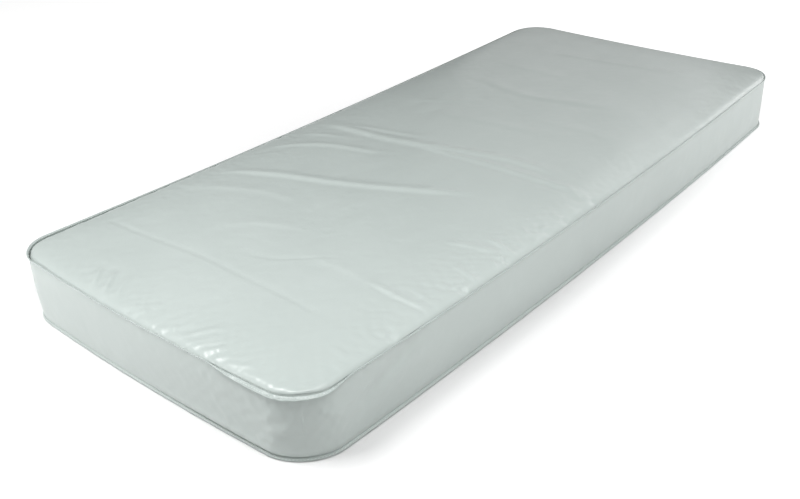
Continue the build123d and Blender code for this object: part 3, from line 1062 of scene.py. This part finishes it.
# Cuts in the core: their pitch along it and across it, and the places of more by its ends and sides.
CUT_ALONG, CUT_ACROSS = 0.02, 0.07
END_CUTS = [HALF_X - d for d in (0.014, 0.018, 0.024, 0.034, 0.055)]
SIDE_CUTS = [HALF_Y - d for d in (0.010, 0.014, 0.020, 0.030, 0.050)]


def copy_of_node(node, name, keep=None):
    """A copy of a CAD node's mesh, cut finely and fitted under the cover."""
    obj = new_object(name, frame["nodes"][node].data.copy())
    if keep is not None:
        keep_half(obj.data, keep)
    low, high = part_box(node)
    cut_across(obj.data, 0, np.arange(math.ceil(low.x / CUT_ALONG) * CUT_ALONG, high.x, CUT_ALONG))
    sides = [-y for y in SIDE_CUTS] + list(np.arange(-0.35, 0.36, CUT_ACROSS)) + SIDE_CUTS
    cut_across(obj.data, 1, [y for y in sides if low.y < y < high.y])
    cut_across(obj.data, 0, [x for x in [-x for x in END_CUTS] + END_CUTS if low.x < x < high.x])
    co = np.array([v.co for v in obj.data.vertices], float)
    obj.data.vertices.foreach_set("co", squeeze(co).ravel())
    obj.data.update()
    return obj


LOWEST_TOP = lowest_nearby(TOP[:, :, 2])


def make_core():
    """The foam blocks and the sock. What the seat has is split in two halves."""
    slots = {part["node"]: part["material_slot"] for part in frame["record"]["subparts"]}
    bodies = frame["record"]["behaviour"]["bodies"]
    for body in ("back_section", "seat_section", "leg_section"):
        for node in bodies[body]:
            if slots[node] not in FOAMS:
                continue
            for half in ("leg", "back") if body == "seat_section" else (body.split("_")[0],):
                keep = half if body == "seat_section" else None
                block = copy_of_node(node, f"{node}_{half}_block" if keep else f"{node}_block", keep)
                dress(block, FOAMS[slots[node]], node)
                bend(block, half)
    for half in ("back", "leg"):
        sock = copy_of_node("fire_barrier_sock", f"sock_{half}", half)
        dress(sock, KNIT, "fire_barrier_sock")
        bend(sock, half)


# ---- zip
COIL_PITCH, COIL_STEPS, COIL_RADIUS = 0.0022, 10, 0.00042


def make_coil(name, node, shift):
    """One thread wound in flattened loops along the tape's edge, shifted along it."""
    low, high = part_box(node)
    x, z = (low.x + high.x) / 2, (low.z + high.z) / 2
    wide, tall = (high.x - low.x) / 2 - 0.0004, (high.z - low.z) / 2 + 0.0002
    k = np.arange(int((high.y - low.y) / COIL_PITCH) * COIL_STEPS + 1)
    a = math.tau * k / COIL_STEPS
    y = low.y + COIL_PITCH * k / COIL_STEPS + shift
    line = np.stack([x + wide * np.cos(a), y, z + tall * np.sin(a)], axis=1)
    d = np.gradient(line, axis=0)
    d = d / norm(d, axis=1, keepdims=True)
    first = np.cross(d, np.array([0, 1.0, 0]))
    first = first / norm(first, axis=1, keepdims=True)
    second = np.cross(d, first)
    turns = [math.tau * m / 6 for m in range(6)]
    ring = [line + COIL_RADIUS * (first * math.cos(q) + second * math.sin(q)) for q in turns]
    coil = ring_mesh(name, np.stack(ring, axis=1))
    dress(coil, COIL, node)
    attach(coil, "back_section")


def make_zip():
    """The coils, and materials for the zip's other CAD nodes, the guard and the label."""
    make_coil("coil_upper", "zip_coil_upper", 0)
    make_coil("coil_lower", "zip_coil_lower", COIL_PITCH / 2)
    for material, nodes in (
        (ZIP_CLOTH, ("zip_tape_upper", "zip_tape_lower")),
        (METAL, ("zip_end_stops", "zip_slider", "zip_pull")),
        (COVER, ("zip_guard",)),
        (LABEL, ("care_label",)),
    ):
        for node in nodes:
            paint(frame["nodes"][node].data, material)


# ---- stage, lights and camera
CAMERA_PLACE = Vector((-1.862, -1.405, 1.165))
YAW, PITCH, ROLL = (math.radians(angle) for angle in (40.89, -29.51, -1.96))
CAMERA_LENS = 43.8


def make_camera():
    data = bpy.data.cameras.new("camera")
    data.lens = CAMERA_LENS
    data.sensor_width = 36.0
    ahead = (math.cos(PITCH) * math.cos(YAW), math.cos(PITCH) * math.sin(YAW), math.sin(PITCH))
    forward, right = Vector(ahead), Vector((math.sin(YAW), -math.cos(YAW), 0))
    up = right.cross(forward)
    rolled_right = right * math.cos(ROLL) + up * math.sin(ROLL)
    rolled_up = up * math.cos(ROLL) - right * math.sin(ROLL)
    turn = Matrix((rolled_right, rolled_up, -forward)).transposed().to_4x4()
    camera = new_object("camera", data)
    camera.matrix_world = Matrix.Translation(CAMERA_PLACE) @ turn
    SCENE.camera = camera


def area_light(name, place, aim, size, power):
    data = bpy.data.lights.new(name, "AREA")
    data.shape = "RECTANGLE"
    data.size, data.size_y = size
    data.energy = power
    light = new_object(name, data)
    light.visible_camera = False
    light.location = place
    light.rotation_euler = (Vector(aim) - Vector(place)).to_track_quat("-Z", "Y").to_euler()


# Each softbox: its place, what it points at, its two sides and its power in watts.
LIGHTS = [
    ("high_left", (-1.6, 0.4, 2.4), (-0.8, 0.0, 0.1), (1.0, 1.0), 50),
    ("high_right", (-0.6, -1.1, 2.3), (-0.5, -0.1, 0.1), (1.0, 1.0), 16.5),
    ("top_near", (-1.3, -0.9, 1.8), (-0.85, -0.25, 0.15), (0.9, 0.9), 11),
    ("foot_left", (-2.2, 0.9, 0.6), (-1.0, 0.3, 0.1), (0.9, 0.7), 12),
    ("side_near", (-0.45, -1.7, 0.6), (-0.45, -0.44, 0.08), (0.6, 0.5), 6.0),
    ("side_far", (0.80, -1.25, 0.5), (0.75, -0.44, 0.08), (0.4, 0.4), 2.0),
    ("corner_far", (1.1, -1.4, 1.1), (0.8, -0.42, 0.12), (0.5, 0.5), 1.4),
    ("back_high", (2.8, 0.0, 1.8), (0.8, 0.0, 0.1), (1.6, 1.2), 10.6),
    ("back_low", (2.8, 1.2, 0.9), (0.5, 0.0, 0.1), (1.6, 0.8), 3.7),
    ("back_right", (2.6, -0.9, 0.9), (0.7, -0.2, 0.1), (1.2, 0.8), 12.5),
]


# Half the floor's side, and how far it lies below the mattress.
FLOOR_HALF, FLOOR_DROP = 50.0, 0.0004


def make_stage():
    """A floor that glows, more so away from the mattress, a dim world and the softboxes."""
    corners = [(x * FLOOR_HALF, y * FLOOR_HALF, 0) for x, y in ((-1, -1), (1, -1), (1, 1), (-1, 1))]
    floor = new_mesh("floor", corners, [(0, 1, 2, 3)])
    floor.location.z = -FLOOR_DROP
    material, tree = node_tree("floor")
    inputs = tree.nodes["Principled BSDF"].inputs
    tree.links.new(ramp(tree, noise(tree, 0.6, 2.0), grey(0.66), grey(0.68)), inputs["Base Color"])
    inputs["Roughness"].default_value = 0.9
    spread = add(tree, "TexGradient")
    spread.gradient_type = "SPHERICAL"
    scaled = add(tree, "Mapping", Location=(0.20, 0.08, 0.0), Scale=(0.25, 0.33, 1.0))
    place_in(tree, scaled)
    tree.links.new(scaled.outputs["Vector"], spread.inputs["Vector"])
    glow = ramp(tree, spread.outputs["Fac"], grey(0.95), grey(0.12), 0.35, 0.85)
    tree.links.new(glow, inputs["Emission Color"])
    inputs["Emission Strength"].default_value = 0.86
    paint(floor.data, material)
    world = bpy.data.worlds.new("world")
    world.use_nodes = True
    background = world.node_tree.nodes["Background"]
    background.inputs["Color"].default_value = (0.95, 0.98, 1.0, 1)
    background.inputs["Strength"].default_value = 0.02
    SCENE.world = world
    for light in LIGHTS:
        area_light(*light)
    SCENE.view_settings.view_transform = "Standard"


make_camera()
make_stage()
make_panels()
make_border()
make_welt(1.0, "top_welt", "top_edge_welt")
make_welt(0.0, "bottom_welt", "bottom_edge_welt")
make_stitching(1.0, "top_stitching")
make_stitching(0.0, "bottom_stitching")
make_core()
make_zip()
